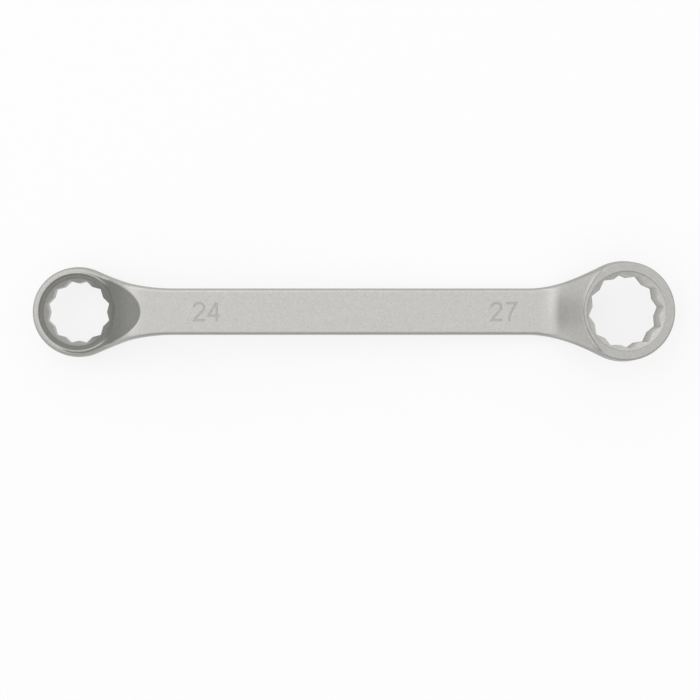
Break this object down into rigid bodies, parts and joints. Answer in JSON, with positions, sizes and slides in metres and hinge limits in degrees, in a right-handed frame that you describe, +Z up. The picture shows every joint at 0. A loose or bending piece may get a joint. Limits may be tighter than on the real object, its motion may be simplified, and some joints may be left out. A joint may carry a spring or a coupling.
{
  "type": "ring spanner",
  "caption": "Double-ended offset ring spanner: flat drafted shank cranked to a twelve-point ring at each end, one ring below the shank and the larger one above it, in satin chrome.",
  "frame": {"origin": "centre of the bounding box's floor, with the spanner lying on a bench on the small ring's edge and on the bend before the large ring", "axes": "+X along the spanner from the small (24 mm) ring to the large (27 mm) ring, +Y across the shank, +Z up from the bench"},
  "size_m": [0.274, 0.0418, 0.0233],
  "materials": {
    "satin_chrome": "satin"
  },
  "bodies": {
    "root": {"spanner_forging": "satin_chrome"}
  },
  "joints": []
}
